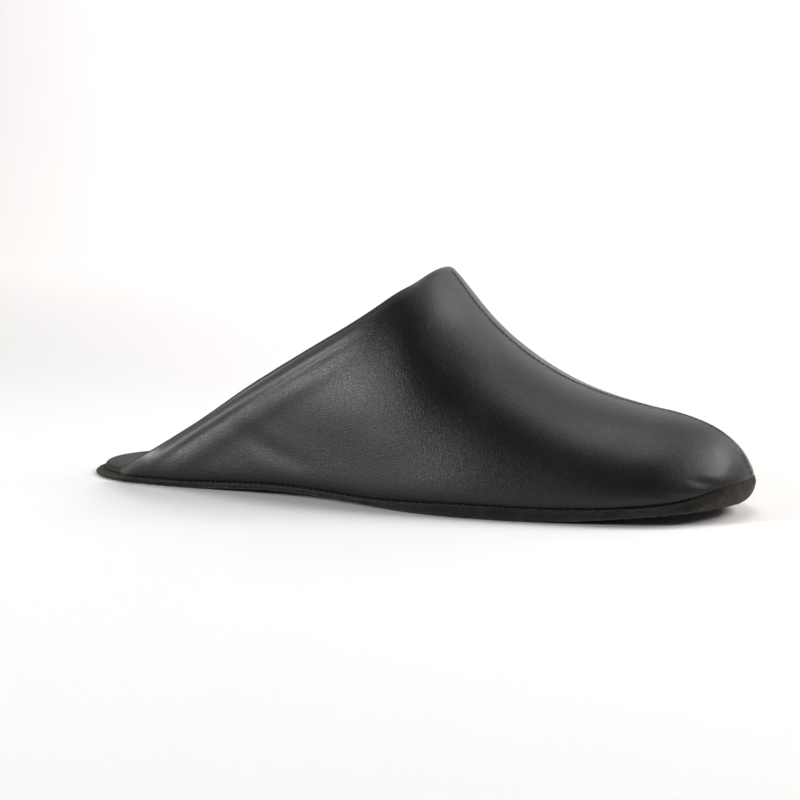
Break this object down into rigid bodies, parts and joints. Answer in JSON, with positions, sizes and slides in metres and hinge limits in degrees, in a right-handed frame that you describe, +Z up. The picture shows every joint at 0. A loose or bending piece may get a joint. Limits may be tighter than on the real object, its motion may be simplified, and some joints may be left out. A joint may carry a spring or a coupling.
{
  "type": "babouche slipper",
  "caption": "Backless soft leather slipper for the right foot, with a high vamp closed by a centre seam, a round toe and a soft suede sole.",
  "frame": {"origin": "middle of the bottom of the bounding box, on the floor that the sole stands on", "axes": "+X from heel to toe, +Y to the inner (big toe) side of this right shoe, +Z up"},
  "size_m": [0.282, 0.0974, 0.0898],
  "materials": {
    "black_leather": "fine pebble grain, soft sheen",
    "brown_suede": "napped suede, matt",
    "sock_leather": "smooth padded sock, matt"
  },
  "bodies": {
    "root": {"upper": "black_leather", "sole": "brown_suede", "insole": "sock_leather"}
  },
  "joints": []
}
